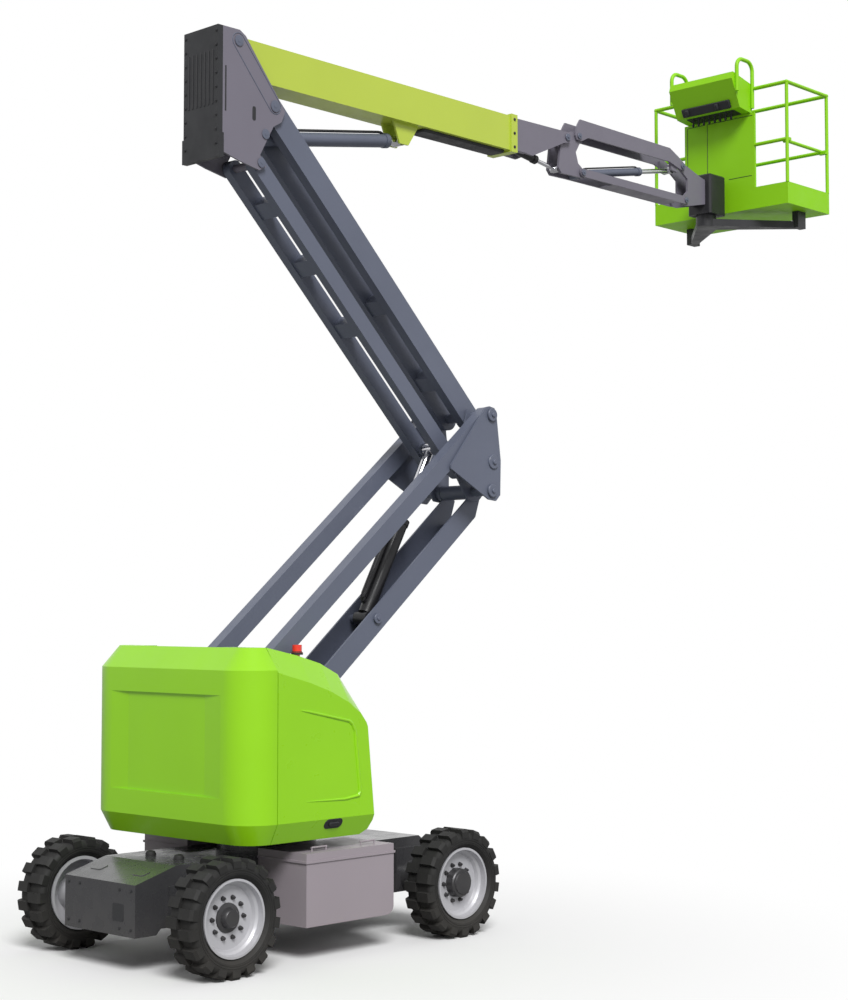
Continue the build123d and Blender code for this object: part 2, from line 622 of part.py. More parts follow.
def head_cover():
    """Rear cover of the head, deeper at its foot."""
    reach = HEAD_IN + HEAD_PLATE
    low = HEAD_LINK[1] - 22
    cover = block(HEAD_REAR - HEAD_COVER, HEAD_REAR, -reach, reach, low, BOOM_PIN[1] + 73)
    foot = block(HEAD_REAR - HEAD_COVER, HEAD_REAR, -reach - 14, reach + 14, low, low + 160)
    return cover + foot


# Boom


def main_boom():
    """Boom tube on its head pin, with an end collar and the lugs of the lift cylinder."""
    low = BOOM_TOP - BOOM_DEPTH
    tube = block(BOOM_REAR, BOOM_END, -BOOM_HALF, BOOM_HALF, low, BOOM_TOP)
    grow = BOOM_COLLAR
    tube += block(
        BOOM_END - COLLAR_LENGTH, BOOM_END, -BOOM_HALF - grow, BOOM_HALF + grow, low - grow, BOOM_TOP + grow
    )
    inner = BOOM_HALF - BOOM_WALL
    tube -= block(BOOM_REAR - 1, BOOM_END + 1, -inner, inner, low + BOOM_WALL, BOOM_TOP - BOOM_WALL)
    x, z = LIFT_EYE
    lug = [(x - 110, low + 2), (x - 45, z - 35), (x + 45, z - 35), (x + 150, low + 2)]
    tube += both(plate(lug, 50, 66))
    return tube - pin(BOOM_PIN, 30 + PIN_FIT, -BOOM_HALF - 1, BOOM_HALF + 1)


def boom_extension():
    """Telescoping inner tube and the nose that carries the jib."""
    low = BOOM_TOP - BOOM_DEPTH + BOOM_WALL + EXT_GAP
    high = BOOM_TOP - BOOM_WALL - EXT_GAP
    half = BOOM_HALF - BOOM_WALL - EXT_GAP
    tube = block(EXT_REAR, NOSE_REAR + 130, -half, half, low, high)
    pad = EXT_GAP - SEAT
    tube += block(EXT_REAR, EXT_REAR + PAD_LENGTH, -half - pad, half + pad, low - pad, high + pad)
    tube -= block(EXT_REAR - 1, NOSE_REAR + 131, -half + BOOM_WALL, half - BOOM_WALL, low + BOOM_WALL, high - BOOM_WALL)
    tube -= block(NOSE_REAR - 40, NOSE_REAR + 131, -50, 50, low - 1, low + BOOM_WALL + 1)
    x, z = NOSE_PIN
    side = [(NOSE_REAR, low), (NOSE_REAR, BOOM_TOP), (x - 20, z + 42), (x + 30, z + 36), (x + 48, z)]
    side += [(x + 30, z - 38), (x - 40, z - 52), (x - 420, low - 6)]
    nose = both(plate(side, NOSE_IN, NOSE_IN + NOSE_PLATE))
    roof = [(NOSE_REAR, BOOM_TOP - 12), (NOSE_REAR, BOOM_TOP), (x - 120, BOOM_TOP - 2), (x - 120, BOOM_TOP - 14)]
    nose += plate(roof, -NOSE_IN, NOSE_IN)
    nose += pin(NOSE_PIN, 25, -NOSE_IN - NOSE_PLATE - 6, NOSE_IN + NOSE_PLATE + 6)
    nose += pin(LEVEL_FOOT, JIB_PIN, -half, half)
    return tube + nose


# Jib


def jib_base():
    """Pair of plates that hang on the nose and carry both jib arms."""
    nx, nz = NOSE_PIN
    ux, uz = JIB_UPPER
    lx, lz = JIB_LOWER
    ex, ez = LEVEL_EYE
    pts = [(nx - 40, nz), (nx - 20, nz + 38), (ux - 10, uz + 44), (ux + 40, uz + 20), (ux + 44, uz - 30)]
    pts += [(ux - 20, uz - 130), (lx - 40, lz + 70), (lx + 42, lz + 20), (lx + 30, lz - 38)]
    pts += [(ex, ez - 38), (ex - 36, ez)]
    face = Polygon(*pts, align=None) - Pos(*NOSE_PIN) * Circle(25 + PIN_FIT)
    base = both(side_face(face, JIB_IN, JIB_IN + JIB_PLATE))
    reach = JIB_IN + JIB_PLATE + SIDE_GAP + JIB_ARM_PLATE + 6
    base += both(pin(JIB_UPPER, JIB_PIN, JIB_IN, reach))
    return base + pin(JIB_LOWER, JIB_PIN, -reach, reach)


def jib_upper_arm():
    """Upper jib arm: a box beam above its pivots, forked at both ends."""
    y0 = JIB_IN + JIB_PLATE + SIDE_GAP
    a = JIB_UPPER
    b = (a[0] + JIB_LENGTH, a[1])
    pts = [(a[0] - 44, a[1]), (a[0] - 30, a[1] + 70), (a[0] + 15, a[1] + 138), (b[0] - 180, b[1] + 125)]
    pts += [(b[0] - 60, b[1] + 72), (b[0] + 40, b[1] + 20), (b[0] + 30, b[1] - 34), (b[0] - 40, b[1] - 30)]
    pts += [(b[0] - 190, b[1] + 8), (a[0] + 120, a[1] + 8), (a[0] + 32, a[1] - 34), (a[0] - 30, a[1] - 32)]
    face = Polygon(*pts, align=None)
    for centre in (a, b):
        face -= Pos(*centre) * Circle(JIB_PIN + PIN_FIT)
    arm = both(side_face(face, y0, y0 + JIB_ARM_PLATE))
    web = [(a[0] + 140, a[1] + 112), (a[0] + 140, a[1] + 128), (b[0] - 420, b[1] + 118), (b[0] - 420, b[1] + 102)]
    arm += plate(web, -y0, y0)
    lug = [(JIB_EYE[0] - 50, JIB_EYE[1] - 10), (JIB_EYE[0] - 60, a[1] + 40), (JIB_EYE[0] + 30, a[1] + 30)]
    lug += [(JIB_EYE[0] + 36, JIB_EYE[1] - 20)]
    return arm + both(plate(lug, 44, y0))


def jib_lower_arm():
    """Lower jib arm: a shallow tray under the jib cylinder."""
    y0 = JIB_IN + JIB_PLATE + SIDE_GAP
    a = JIB_LOWER
    b = (a[0] + JIB_LENGTH, a[1])
    face = strap(a, b, 64)
    for centre in (a, b):
        face -= Pos(*centre) * Circle(JIB_PIN + PIN_FIT)
    arm = both(side_face(face, y0, y0 + JIB_ARM_PLATE))
    return arm + block(a[0] + 400, b[0] - 110, -y0, y0, a[1] - 32, a[1] - 24)


def jib_end():
    """End link that both jib arms carry, with the bracket of the rotator."""
    u = (JIB_UPPER[0] + JIB_LENGTH, JIB_UPPER[1])
    d = (JIB_LOWER[0] + JIB_LENGTH, JIB_LOWER[1])
    back = ROTATOR_X - ROTATOR_RADIUS
    pts = [(u[0] - 36, u[1] - 10), (u[0] - 20, u[1] + 34), (u[0] + 30, u[1] + 36), (back - 90, u[1] - 40)]
    pts += [(back, u[1] - 60), (back, d[1] + 20), (d[0] + 60, d[1] - 36), (d[0] - 20, d[1] - 36)]
    pts += [(d[0] - 38, d[1] + 10), (d[0] + 50, d[1] + 90), (d[0] + 50, u[1] - 90)]
    link = both(plate(pts, JIB_IN, JIB_IN + JIB_PLATE))
    link += block(back - 22, back, -JIB_IN, JIB_IN, d[1] + 20, u[1] - 60)
    reach = JIB_IN + JIB_PLATE + SIDE_GAP + JIB_ARM_PLATE + 6
    link += both(pin(u, JIB_PIN, JIB_IN, reach))
    return link + both(pin(d, JIB_PIN, JIB_IN, reach))


def rotator():
    """Platform rotator: upright actuator body on the jib end."""
    height = ROTATOR_HIGH - ROTATOR_LOW
    body = Pos(ROTATOR_X, 0, ROTATOR_LOW + height / 2) * Cylinder(ROTATOR_RADIUS, height)
    u_z = JIB_UPPER[1] - 60
    back = ROTATOR_X - ROTATOR_RADIUS
    body += block(back, ROTATOR_X, -JIB_IN - JIB_PLATE, JIB_IN + JIB_PLATE, JIB_LOWER[1] + 20, u_z)
    return body


# Platform


def tube_path(points, radius, corner):
    """Bent round tube along a polyline with rounded corners."""
    path = FilletPolyline(*points, radius=corner)
    start = Plane(origin=path @ 0, z_dir=path % 0)
    return sweep(start * Circle(radius), path=path)


def platform_fork():
    """Forked bracket from the rotator under the platform floor."""
    hub = Pos(ROTATOR_X, 0, ROTATOR_LOW - SEAT - 30) * Cylinder(ROTATOR_RADIUS, 60)
    arms = Polygon(
        (ROTATOR_X - 40, -70), (ROTATOR_X + 560, -560), (ROTATOR_X + 640, -560), (ROTATOR_X + 150, 0),
        (ROTATOR_X + 640, 560), (ROTATOR_X + 560, 560), (ROTATOR_X - 40, 70), align=None,
    )
    top = ROTATOR_LOW - SEAT
    fork = Pos(0, 0, top - 60) * extrude(arms, amount=60, dir=(0, 0, 1))
    for side in (-1, 1):
        fork += block(ROTATOR_X + 540, ROTATOR_X + 660, side * 560 - 30, side * 560 + 30, top - 60, FLOOR_LOW)
    return fork + hub


def platform_floor():
    """Floor tray with toe-boards all round."""
    tray = block(FLOOR_REAR, FLOOR_FRONT, -FLOOR_HALF, FLOOR_HALF, FLOOR_LOW, TOE_HIGH)
    inner = block(
        FLOOR_REAR + TOE_THICK, FLOOR_FRONT - TOE_THICK, -FLOOR_HALF + TOE_THICK, FLOOR_HALF - TOE_THICK,
        FLOOR_LOW + FLOOR_THICK, TOE_HIGH + 1,
    )
    return tray - inner


def platform_rails():
    """Guard rails: top and middle rails on posts that stand on the toe-boards."""
    inset = TOE_THICK / 2
    x0, x1 = FLOOR_REAR + inset, FLOOR_FRONT - inset
    y = FLOOR_HALF - inset
    rails = None
    for px, py in ((x0, y), (x1, y), (x1, -y), (x0, -y)):
        post = Pos(px, py, (TOE_HIGH + TOP_RAIL) / 2) * Cylinder(POST_RADIUS, TOP_RAIL - TOE_HIGH)
        rails = post if rails is None else rails + post
    for z, radius in ((TOP_RAIL, RAIL_RADIUS), (MID_RAIL, MID_RADIUS)):
        rails += Pos(x1, 0, z) * Rot(90, 0, 0) * Cylinder(radius, 2 * y)
        rails += Pos((x0 + x1) / 2, y, z) * Rot(0, 90, 0) * Cylinder(radius - 0.5, x1 - x0)
    rails += Pos((x0 + x1) / 2, -y, TOP_RAIL) * Rot(0, 90, 0) * Cylinder(RAIL_RADIUS - 0.5, x1 - x0)
    for side in (-1, 1):
        span = y - PANEL_HALF
        centre = side * (y + PANEL_HALF) / 2
        for z, radius in ((TOP_RAIL, RAIL_RADIUS), (MID_RAIL, MID_RADIUS)):
            rails += Pos(x0, centre, z) * Rot(90, 0, 0) * Cylinder(radius, span)
    for px in (x0, x1):
        for py in (y, -y):
            rails += Pos(px, py, TOP_RAIL) * Sphere(RAIL_RADIUS + 1)
    hinge = Pos(x0 + 40, -y + 30, MID_RAIL) * Rot(90, 0, 0) * Cylinder(8, 70)
    hinge += block(x0, x0 + 52, -y - 10, -y + 10, MID_RAIL - 14, MID_RAIL + 14)
    seat = MID_RAIL - GATE_RADIUS - SEAT
    rest = block(x1 - 45, x1, -y - 10, -y + 62, seat - 12, seat)
    return rails + hinge + rest


def platform_panel():
    """Full-height panel on the boom side of the platform."""
    x = FLOOR_REAR
    return block(x, x + PANEL_THICK, -PANEL_HALF, PANEL_HALF, TOE_HIGH, CONSOLE_LOW)


def console():
    """Control console with a sloped hood, and the guard loops beside it."""
    x0, x1 = CONSOLE_REAR, FLOOR_REAR + PANEL_THICK
    pts = [(x1, CONSOLE_LOW), (x0 + 120, CONSOLE_LOW + 20), (x0, CONSOLE_HIGH - 60), (x0 + 20, CONSOLE_HIGH)]
    pts += [(x1, CONSOLE_HIGH - 60)]
    box = plate(pts, -CONSOLE_HALF, CONSOLE_HALF)
    for side in (-1, 1):
        y = side * (CONSOLE_HALF + RAIL_RADIUS - 4)
        loop = tube_path(
            [(x1 - 12, y, CONSOLE_LOW + 40), (x1 - 12, y, LOOP_HIGH), (x0 + 60, y, LOOP_HIGH), (x0 + 60, y, CONSOLE_LOW + 150)],
            RAIL_RADIUS, 80,
        )
        box += loop
    return box


def platform_gate():
    """Lift-up entry bar on the right end of the platform."""
    inset = TOE_THICK / 2
    x0 = FLOOR_REAR + inset + 40
    x1 = FLOOR_FRONT - inset - 25
    y = -FLOOR_HALF + inset + 45
    bar = Pos((x0 + x1) / 2, y, MID_RAIL) * Rot(0, 90, 0) * Cylinder(GATE_RADIUS, x1 - x0)
    eye = Pos(x0, y, MID_RAIL) * Rot(90, 0, 0) * Cylinder(22, 26)
    return bar + eye - Pos(x0, y, MID_RAIL) * Rot(90, 0, 0) * Cylinder(8 + PIN_FIT, 60)


LIFT_ROD = 32.0
RISER_ROD = 34.0
JIB_ROD = 20.0
LEVEL_ROD = 16.0

NODES = {
    "chassis_frame": chassis_frame(),
    "slew_ring": slew_ring(),
    "battery_box_right": battery_box(),
    "battery_lid_right": battery_lid(),
    "battery_box_left": mirror(battery_box(), about=Plane.XZ),
    "battery_lid_left": mirror(battery_lid(), about=Plane.XZ),
    "turntable_frame": turntable_frame(),
    "counterweight": counterweight(),
    "power_pack": power_pack(),
    "hydraulic_tank": hydraulic_tank(),
    "beacon": beacon(),
    "lower_arm": lower_arm(),
    "riser_cylinder_barrel": barrel(RISER_FOOT, RISER_EYE, SMALL_PIN, 52, 800, 60, RISER_ROD),
    "riser_cylinder_rod": cylinder_rod(RISER_FOOT, RISER_EYE, SMALL_PIN, RISER_ROD, 42, 42, 410),
    "knuckle_frame": knuckle_frame(),
    "upper_arm": upper_arm(),
    "upper_link": upper_link(),
    "head_frame": head_frame(),
    "head_cover": head_cover(),
    "main_boom": main_boom(),
    "lift_cylinder_barrel": barrel(LIFT_FOOT, LIFT_EYE, 30, 48, 1330, 58, LIFT_ROD),
    "lift_cylinder_rod": cylinder_rod(LIFT_FOOT, LIFT_EYE, 30, LIFT_ROD, 40, 42, 20),
    "boom_extension": boom_extension(),
    "level_cylinder_barrel": barrel(LEVEL_FOOT, LEVEL_EYE, JIB_PIN, 30, 330, 30, LEVEL_ROD),
    "level_cylinder_rod": cylinder_rod(LEVEL_FOOT, LEVEL_EYE, JIB_PIN, LEVEL_ROD, 26, 38, 215),
    "jib_base": jib_base(),
    "jib_upper_arm": jib_upper_arm(),
    "jib_lower_arm": jib_lower_arm(),
    "jib_cylinder_barrel": barrel(JIB_LOWER, JIB_EYE, JIB_PIN, 32, 860, 38, JIB_ROD),
    "jib_cylinder_rod": cylinder_rod(JIB_LOWER, JIB_EYE, JIB_PIN, JIB_ROD, 28, 36, 260),
    "jib_end": jib_end(),
    "rotator": rotator(),
    "platform_fork": platform_fork(),
    "platform_floor": platform_floor(),
    "platform_rails": platform_rails(),
    "platform_panel": platform_panel(),
    "control_console": console(),
    "platform_gate": platform_gate(),
}

TYRE = tyre()
SIDES = (("right", -1), ("left", 1))
for side_name, side in SIDES:
    NODES["lower_link_" + side_name] = lower_link(side)
    NODES["hood_" + side_name] = hood(side)
    NODES["steer_yoke_" + side_name] = steer_yoke(side)
    NODES["drive_motor_" + side_name] = drive_motor(side)
    NODES["steer_knuckle_" + side_name] = steer_knuckle(side)
    NODES["steer_rod_" + side_name] = steer_rod(side)
    for end_name, x, hub_profile in (("rear", -WHEELBASE / 2, STEER_HUB), ("front", WHEELBASE / 2, DRIVE_HUB)):
        place = wheel_place(x, side)
        NODES["tyre_" + end_name + "_" + side_name] = place * TYRE
        NODES["rim_" + end_name + "_" + side_name] = place * rim(hub_profile)

for node_name, solid in NODES.items():
    export_step(solid, os.path.join("parts", node_name + ".step"))
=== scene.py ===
# %% [markdown]
# # Articulating boom lift
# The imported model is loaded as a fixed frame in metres, +X forward along the boom, +Y left and +Z up.
# Everything below either gives a frame piece its finish or adds a small fitting that rides on a body,
# so the machine can still be posed. Numpy works out every new surface as whole arrays.

# %% Load the frame
import json
import math

import bmesh
import bpy
import numpy as np
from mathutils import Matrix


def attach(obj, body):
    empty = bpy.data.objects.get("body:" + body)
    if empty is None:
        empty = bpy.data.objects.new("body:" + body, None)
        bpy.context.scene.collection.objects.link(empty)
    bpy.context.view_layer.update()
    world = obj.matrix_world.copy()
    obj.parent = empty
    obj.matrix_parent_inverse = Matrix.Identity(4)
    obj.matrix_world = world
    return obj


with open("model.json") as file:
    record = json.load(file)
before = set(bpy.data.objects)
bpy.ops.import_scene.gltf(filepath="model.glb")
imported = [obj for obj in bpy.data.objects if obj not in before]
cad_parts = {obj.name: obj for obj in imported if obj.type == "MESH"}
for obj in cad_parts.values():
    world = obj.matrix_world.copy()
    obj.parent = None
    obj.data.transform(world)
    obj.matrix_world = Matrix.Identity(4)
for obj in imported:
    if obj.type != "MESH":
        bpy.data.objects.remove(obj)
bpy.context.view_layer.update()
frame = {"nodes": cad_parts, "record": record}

# %% [markdown]
# ## Paint group
# Sprayed paint is never one flat colour: it has slow changes of tone, a fine orange peel and road dust low down.
# These could be painted into each material by hand. One node group does it for all of them, so that each
# material only states its own colour and how much dust it carries.


# %% Paint group
DUST_COLOUR = (0.30, 0.27, 0.23, 1)
DUST_ABOVE = 0.12


def paint_group():
    """Colour x (1 + tone noise), mixed with dust by height; roughness noise; orange-peel height."""
    g = bpy.data.node_groups.new("sprayed_paint", "ShaderNodeTree")
    for name, kind, value in (
        ("Color", "NodeSocketColor", (0.5, 0.5, 0.5, 1)), ("Tone", "NodeSocketFloat", 0.1),
        ("Dust", "NodeSocketFloat", 0.1), ("Dust Top", "NodeSocketFloat", 0.6),
        ("Rough Low", "NodeSocketFloat", 0.3), ("Rough High", "NodeSocketFloat", 0.5),
        ("Grain", "NodeSocketFloat", 220.0),
    ):
        g.interface.new_socket(name, in_out="INPUT", socket_type=kind).default_value = value
    g.interface.new_socket("Color", in_out="OUTPUT", socket_type="NodeSocketColor")
    g.interface.new_socket("Roughness", in_out="OUTPUT", socket_type="NodeSocketFloat")
    g.interface.new_socket("Height", in_out="OUTPUT", socket_type="NodeSocketFloat")
    n, link = g.nodes, g.links.new
    gin, gout = n.new("NodeGroupInput"), n.new("NodeGroupOutput")
    place = n.new("ShaderNodeTexCoord")

    def noise(scale, detail):
        t = n.new("ShaderNodeTexNoise")
        t.inputs["Scale"].default_value = scale
        t.inputs["Detail"].default_value = detail
        link(place.outputs["Object"], t.inputs["Vector"])
        return t

    def math_node(op, a, b):
        m = n.new("ShaderNodeMath")
        m.operation = op
        for socket, value in zip(m.inputs, (a, b)):
            if isinstance(value, (int, float)):
                socket.default_value = value
            else:
                link(value, socket)
        return m.outputs[0]

    slow = noise(1.7, 4.0)
    patch = noise(9.0, 6.0)
    tone = math_node("MULTIPLY", math_node("SUBTRACT", slow.outputs["Fac"], 0.5), gin.outputs["Tone"])
    bright = math_node("ADD", tone, 1.0)
    shade = n.new("ShaderNodeVectorMath")
    shade.operation = "SCALE"
    link(gin.outputs["Color"], shade.inputs[0])
    link(bright, shade.inputs["Scale"])
    split = n.new("ShaderNodeSeparateXYZ")
    link(place.outputs["Object"], split.inputs[0])
    low = n.new("ShaderNodeMapRange")
    low.interpolation_type = "SMOOTHSTEP"
    link(split.outputs["Z"], low.inputs["Value"])
    low.inputs["From Min"].default_value = 0.0
    link(gin.outputs["Dust Top"], low.inputs["From Max"])
    low.inputs["To Min"].default_value = 1.0
    low.inputs["To Max"].default_value = DUST_ABOVE
    spots = math_node("MULTIPLY", math_node("MULTIPLY", low.outputs[0], patch.outputs["Fac"]), gin.outputs["Dust"])
    # A Mix node's colours are its inputs 6 and 7 and its output 2.
    mix = n.new("ShaderNodeMix")
    mix.data_type = "RGBA"
    link(spots, mix.inputs[0])
    link(shade.outputs[0], mix.inputs[6])
    mix.inputs[7].default_value = DUST_COLOUR
    link(mix.outputs[2], gout.inputs["Color"])
    rough = n.new("ShaderNodeMapRange")
    link(patch.outputs["Fac"], rough.inputs["Value"])
    rough.inputs["From Min"].default_value = 0.3
    rough.inputs["From Max"].default_value = 0.7
    link(gin.outputs["Rough Low"], rough.inputs["To Min"])
    link(gin.outputs["Rough High"], rough.inputs["To Max"])
    link(rough.outputs[0], gout.inputs["Roughness"])
    peel = noise(1.0, 2.0)
    link(gin.outputs["Grain"], peel.inputs["Scale"])
    link(peel.outputs["Fac"], gout.inputs["Height"])
    return g


PAINT = paint_group()
print("group", PAINT.name)

# %% [markdown]
# ## Finishes
# Each slot of the record becomes one material. Green panels are glossy under a clear coat, arms are satin,
# rods are hard chrome and tyres are matt with a dusty foot. Plain numbers sit on the shader's own sockets,
# because an exporter reads them there.


# %% Finishes
PEEL_DEPTH = 0.002
COAT_ROUGHNESS = 0.12
SPECULAR = 0.35


def finish(name, colour, rough, tone=0.12, dust=0.1, dust_top=0.7, metal=0.0, coat=0.0, grain=220.0, bump=0.03):
    """A Principled material fed by the paint group, with a small bump from its grain."""
    m = bpy.data.materials.new(name)
    m.use_nodes = True
    n, link = m.node_tree.nodes, m.node_tree.links.new
    bsdf = n["Principled BSDF"]
    skin = n.new("ShaderNodeGroup")
    skin.node_tree = PAINT
    for socket, value in (
        ("Color", (*colour, 1)), ("Tone", tone), ("Dust", dust), ("Dust Top", dust_top),
        ("Rough Low", rough[0]), ("Rough High", rough[1]), ("Grain", grain),
    ):
        skin.inputs[socket].default_value = value
    link(skin.outputs["Color"], bsdf.inputs["Base Color"])
    link(skin.outputs["Roughness"], bsdf.inputs["Roughness"])
    dent = n.new("ShaderNodeBump")
    dent.inputs["Strength"].default_value = bump
    dent.inputs["Distance"].default_value = PEEL_DEPTH
    link(skin.outputs["Height"], dent.inputs["Height"])
    link(dent.outputs[0], bsdf.inputs["Normal"])
    bsdf.inputs["Metallic"].default_value = metal
    bsdf.inputs["Coat Weight"].default_value = coat
    bsdf.inputs["Coat Roughness"].default_value = COAT_ROUGHNESS
    bsdf.inputs["Specular IOR Level"].default_value = SPECULAR
    m.diffuse_color = (*colour, 1)
    return m


GREEN = (0.290, 0.660, 0.006)
LOOKS = {
    "cast_green": dict(colour=GREEN, rough=(0.30, 0.42), coat=0.3, dust=0.05, dust_top=1.2, bump=0.06),
    "cover_green": dict(colour=GREEN, rough=(0.26, 0.38), coat=0.35, dust=0.05, dust_top=1.2),
    "boom_green": dict(colour=(0.50, 0.62, 0.065), rough=(0.28, 0.40), coat=0.2, dust=0.02),
    "platform_green": dict(colour=(0.275, 0.650, 0.005), rough=(0.42, 0.56), dust=0.02),
    "arm_grey": dict(colour=(0.122, 0.136, 0.186), rough=(0.32, 0.48), tone=0.25, dust=0.04),
    "battery_paint": dict(colour=(0.33, 0.29, 0.32), rough=(0.36, 0.52), dust=0.25, dust_top=0.5),
    "chassis_paint": dict(
        colour=(0.042, 0.042, 0.046), rough=(0.20, 0.36), tone=0.3, dust=0.18, dust_top=0.5, coat=0.25
    ),
    "black_paint": dict(colour=(0.020, 0.020, 0.023), rough=(0.30, 0.48), tone=0.3, dust=0.05),
    "black_plastic": dict(
        colour=(0.022, 0.023, 0.026), rough=(0.45, 0.62), tone=0.3, dust=0.05, grain=600, bump=0.1
    ),
    "chrome_rod": dict(
        colour=(0.62, 0.62, 0.65), rough=(0.12, 0.22), tone=0.04, dust=0.0, metal=1.0, bump=0.0
    ),
    "rim_silver": dict(colour=(0.52, 0.52, 0.55), rough=(0.30, 0.46), dust=0.3, dust_top=0.6, metal=0.25),
    "tyre": dict(
        colour=(0.013, 0.013, 0.013), rough=(0.62, 0.82), tone=0.4, dust=0.14, dust_top=0.5, grain=500, bump=0.2
    ),
    "beacon_lens": dict(colour=(0.86, 0.035, 0.02), rough=(0.10, 0.18), tone=0.05, dust=0.0, coat=0.5),
}
SKIN = {name: finish(name, **look) for name, look in LOOKS.items()}
HEAD_GREY = finish("head_grey", (0.180, 0.168, 0.208), (0.34, 0.50), tone=0.2, dust=0.03)
DARK_STEEL = finish("dark_steel", (0.06, 0.06, 0.065), (0.32, 0.48), tone=0.3, dust=0.2, metal=0.6)
for entry in frame["record"]["subparts"]:
    node = frame["nodes"][entry["node"]]
    node.data.materials.clear()
    node.data.materials.append(SKIN[entry["material_slot"]])
for name in ("head_frame", "jib_base", "jib_end", "boom_extension", "jib_upper_arm", "jib_lower_arm"):
    frame["nodes"][name].data.materials[0] = HEAD_GREY
print(len(SKIN), "finishes on", len(frame["nodes"]), "nodes")

# %% [markdown]
# ## Surface helpers
# Three shapes make every fitting: a profile turned about an axis, a round bar carried along a line, and a flat
# plate with a bevelled edge. Each is a grid of points, so one function joins any of them into faces.


# %% Surface helpers
RIM_SUNK = 0.004
SHARP_EDGE = math.radians(32)


def quads(rows, cols):
    """Faces of a grid whose columns close on themselves: (i, j), (i, j+1), (i+1, j+1), (i+1, j)."""
    i, j = np.meshgrid(np.arange(rows - 1), np.arange(cols), indexing="ij")
    k = (j + 1) % cols
    return np.stack([i * cols + j, i * cols + k, (i + 1) * cols + k, (i + 1) * cols + j], -1).reshape(-1, 4)


def unit(v):
    """The vector divided by its length."""
    return np.asarray(v, float) / np.linalg.norm(v)


def turned(profile, origin, axis, count=24):
    """Point (r, h) at angle t: origin + h axis + r (cos t u + sin t v), closed on the axis at both ends."""
    r, h = np.asarray(profile, float).T
    r, h = np.r_[0.0, r, 0.0], np.r_[h[0], h, h[-1]]
    w = unit(axis)
    u = unit(np.cross(w, (0.31, 0.52, 0.79)))
    v = np.cross(w, u)
    t = np.arange(count) * 2 * np.pi / count
    ring = np.cos(t)[:, None] * u + np.sin(t)[:, None] * v
    pts = np.asarray(origin, float) + h[:, None, None] * w + r[:, None, None] * ring
    return pts.reshape(-1, 3), quads(len(r), count)


def bar(path, radius, count=12):
    """Circle of the given radius (one number, or one a point) carried along a line, closed at both ends."""
    p = np.asarray(path, float)
    d = np.gradient(p, axis=0)
    d /= np.linalg.norm(d, axis=1)[:, None]
    side = np.cross(d, (0.11, 0.23, 0.97))
    side /= np.linalg.norm(side, axis=1)[:, None]
    up = np.cross(d, side)
    t = np.arange(count) * 2 * np.pi / count
    ring = np.cos(t)[:, None] * side[:, None, :] + np.sin(t)[:, None] * up[:, None, :]
    r = np.broadcast_to(np.asarray(radius, float), len(p))
    rows = p[:, None, :] + r[:, None, None] * ring
    rows = np.concatenate([np.repeat(p[:1, None], count, 1), rows, np.repeat(p[-1:, None], count, 1)])
    return rows.reshape(-1, 3), quads(len(rows), count)


def plate(outline, centre, u, n, thick, bevel):
    """Outline (a, b) at centre + a u + b v, raised along n with a bevelled rim, closed in the middle."""
    o = np.asarray(outline, float)
    n, u = unit(n), unit(u)
    v = np.cross(n, u)
    mid = o.mean(0)
    span = np.abs(o - mid).max(0)
    levels = np.array([[1.0, -RIM_SUNK], [0.0, 0.0], [0.0, thick - bevel], [bevel, thick], [1.0, thick]])
    share = np.where(levels[:, :1] >= 1.0, 0.0, 1.0 - levels[:, :1] / span)
    rows = mid + (o - mid)[None] * share[:, None, :]
    pts = np.asarray(centre, float) + rows[..., :1] * u + rows[..., 1:] * v
    pts = pts + levels[:, 1][:, None, None] * n
    return pts.reshape(-1, 3), quads(len(levels), len(o))


def pill(width, height, corner, count=8):
    """Rounded rectangle: quarter circles of one radius about the four inner corners."""
    t = np.linspace(0, np.pi / 2, count)
    quarter = corner * np.stack([np.cos(t), np.sin(t)], 1)
    a, b = width / 2 - corner, height / 2 - corner
    turns = [(quarter[:, 0] + a, quarter[:, 1] + b), (-quarter[:, 1] - a, quarter[:, 0] + b)]
    turns += [(-quarter[:, 0] - a, -quarter[:, 1] - b), (quarter[:, 1] + a, -quarter[:, 0] - b)]
    return np.concatenate([np.stack(p, 1) for p in turns])


def put(name, shapes, material, body):
    """Join shapes into one mesh at the origin, close its seams and poles, and let it ride on a body."""
    start = np.cumsum([0] + [len(v) for v, f in shapes[:-1]])
    verts = np.concatenate([v for v, f in shapes])
    faces = np.concatenate([f + s for (v, f), s in zip(shapes, start)])
    mesh = bpy.data.meshes.new(name)
    mesh.from_pydata(verts.tolist(), [], faces.tolist())
    bm = bmesh.new()
    bm.from_mesh(mesh)
    bmesh.ops.remove_doubles(bm, verts=bm.verts, dist=1e-6)
    bmesh.ops.recalc_face_normals(bm, faces=bm.faces)
    bm.to_mesh(mesh)
    bm.free()
    mesh.materials.append(material)
    mesh.shade_smooth()
    mesh.set_sharp_from_angle(angle=SHARP_EDGE)
    obj = bpy.data.objects.new(name, mesh)
    bpy.context.collection.objects.link(obj)
    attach(obj, body)
    print(name, len(mesh.polygons), "faces on", body)
    return obj


# %% [markdown]
# ## Wheels
# A wheel is bolted on by ten nuts round a dark hub. A nut is a six-sided turned profile; the hub cover follows
# the hub underneath by half a millimetre. Two thin ribs run round each tyre wall, where the mould parts.

